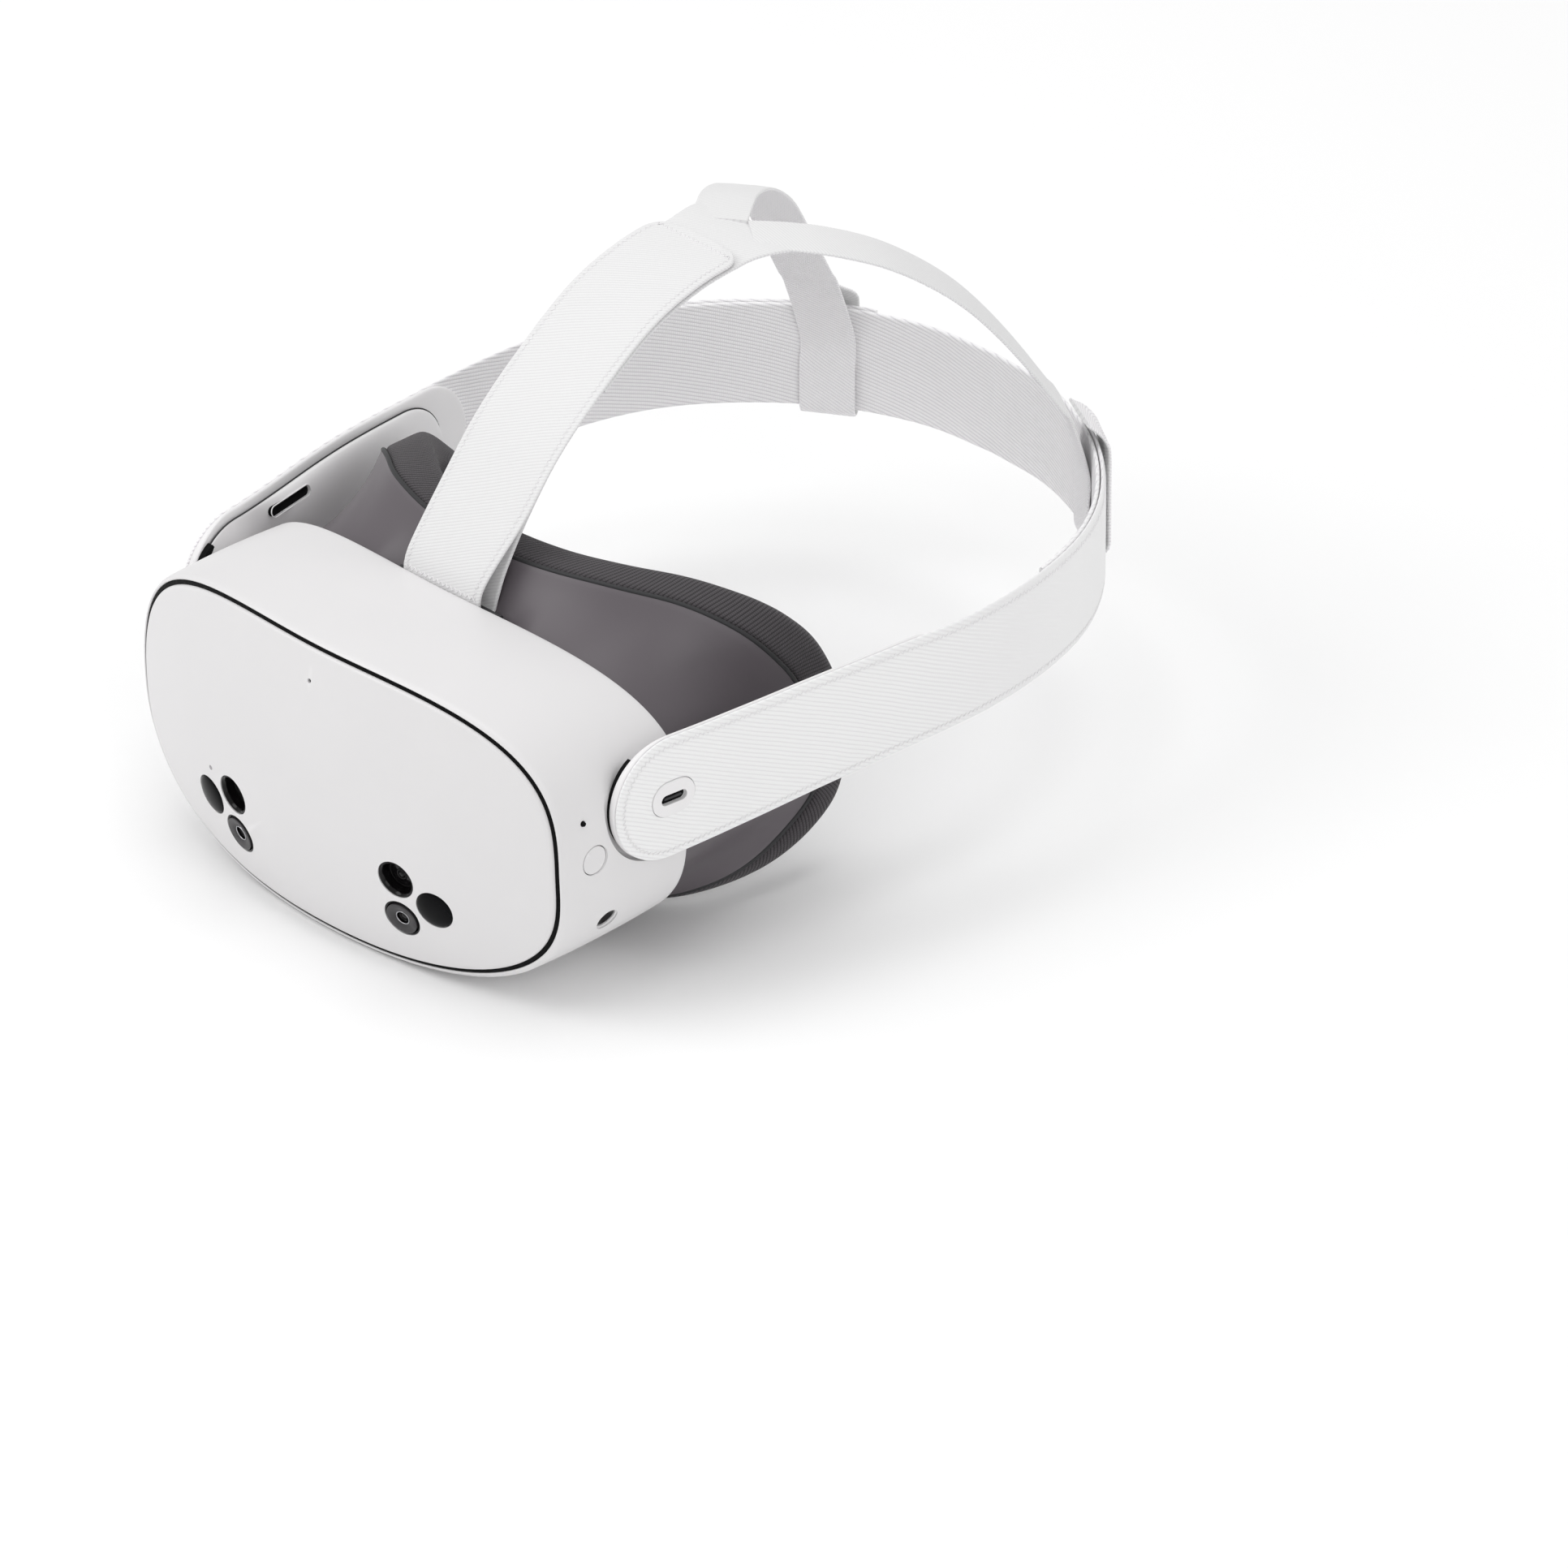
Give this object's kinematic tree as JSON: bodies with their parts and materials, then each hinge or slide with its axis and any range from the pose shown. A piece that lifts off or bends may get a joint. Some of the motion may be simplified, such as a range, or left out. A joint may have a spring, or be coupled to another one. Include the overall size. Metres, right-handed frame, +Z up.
{
  "type": "vr headset",
  "caption": "Standalone VR headset: a rounded visor with cameras in its faceplate, a cushioned facial interface, and knitted straps round the back and over the top of the head.",
  "frame": {"origin": "centre of the bounding box, at the height of the surface the headset stands on", "axes": "+X to the wearer's left, +Y from the faceplate to the back of the strap, +Z up"},
  "size_m": [0.2158, 0.2948, 0.175],
  "materials": {
    "shell_white": "satin off-white",
    "strap_white": "ribbed knit",
    "frame_grey": "satin taupe grey",
    "cushion_dark": "fine knitted mesh over foam",
    "gloss_black": "gloss",
    "soft_black": "matt",
    "lens_clear": "clear, polished",
    "board_green": "solder mask",
    "steel": "bright",
    "aluminium": "cast",
    "battery_foil": "wrapped pouch"
  },
  "bodies": {
    "visor": {"battery_pack": "battery_foil", "display_frame": "soft_black", "display_panel": "gloss_black", "fan_housing": "soft_black", "front_plate": "shell_white", "gap_seal": "soft_black", "heat_sink": "aluminium", "hinge_pin_left": "steel", "hinge_pin_right": "steel", "hinge_washer_left": "soft_black", "hinge_washer_right": "soft_black", "ir_illuminator_left": "gloss_black", "ir_illuminator_right": "gloss_black", "lens_panel": "soft_black", "lens_rail_lower": "steel", "lens_rail_upper": "steel", "main_board": "board_green", "main_housing": "shell_white", "panel_screw_1": "steel", "panel_screw_2": "steel", "panel_screw_3": "steel", "panel_screw_4": "steel", "passthrough_camera_left": "gloss_black", "passthrough_camera_right": "gloss_black", "proximity_sensor": "gloss_black", "side_camera_left": "gloss_black", "side_camera_right": "gloss_black", "status_led": "gloss_black", "top_strap_bar": "soft_black", "tracking_camera_left": "gloss_black", "tracking_camera_right": "gloss_black"},
    "lens_unit_left": {"lens_barrel_left": "soft_black", "lens_left": "lens_clear"},
    "lens_unit_right": {"lens_barrel_right": "soft_black", "lens_right": "lens_clear"},
    "power_key": {"power_button": "shell_white"},
    "volume_key": {"volume_rocker": "shell_white"},
    "action_key": {"action_button": "shell_white"},
    "fan": {"fan_rotor": "soft_black"},
    "facial_interface": {"facial_frame": "frame_grey", "face_cushion": "cushion_dark"},
    "head_strap": {"arm_shell_left": "shell_white", "arm_shell_right": "shell_white", "arm_cover_left": "shell_white", "arm_cover_right": "shell_white", "speaker_left": "soft_black", "speaker_right": "soft_black", "side_strap_left": "strap_white", "side_strap_right": "strap_white", "usb_c_port": "shell_white", "rear_strap": "strap_white", "strap_loop_left": "strap_white", "strap_loop_right": "strap_white", "top_strap": "strap_white", "y_strap": "strap_white"}
  },
  "joints": [
    {"name": "strap_tilt", "type": "hinge", "parent": "visor", "child": "head_strap", "pos_m": [0, -0.0875, 0.067], "axis": [1, 0, 0], "range_deg": [-12, 12], "deforming": ["top_strap"]},
    {"name": "lens_left_slide", "type": "slide", "parent": "visor", "child": "lens_unit_left", "axis": [1, 0, 0], "range_m": [-0.0025, 0.0025]},
    {"name": "lens_right_slide", "type": "slide", "parent": "visor", "child": "lens_unit_right", "axis": [1, 0, 0], "range_m": [-0.0025, 0.0025]},
    {"name": "power_button_press", "type": "slide", "parent": "visor", "child": "power_key", "axis": [-1, 0, 0], "range_m": [0, 0.0005], "stiffness_N_per_m": 1500, "springref_m": -0.0003},
    {"name": "volume_rocker_tilt", "type": "hinge", "parent": "visor", "child": "volume_key", "pos_m": [0.048, -0.1115, 0.0046], "axis": [0, 1, 0], "range_deg": [-2.5, 2.5], "stiffness_Nm_per_rad": 0.05},
    {"name": "action_button_press", "type": "slide", "parent": "visor", "child": "action_key", "axis": [0.196, 0, 0.9806], "range_m": [0, 0.0005], "stiffness_N_per_m": 1500, "springref_m": -0.0003},
    {"name": "fan_spin", "type": "hinge", "parent": "visor", "child": "fan", "pos_m": [0, -0.1353, 0.029], "axis": [0, -1, 0], "continuous": true},
    {"name": "facial_interface_pull", "type": "slide", "parent": "visor", "child": "facial_interface", "axis": [0, 1, 0], "range_m": [0, 0.035]}
  ],
  "couplings": [
    {"joint": "lens_right_slide", "follows": "lens_left_slide", "ratio": -1}
  ]
}
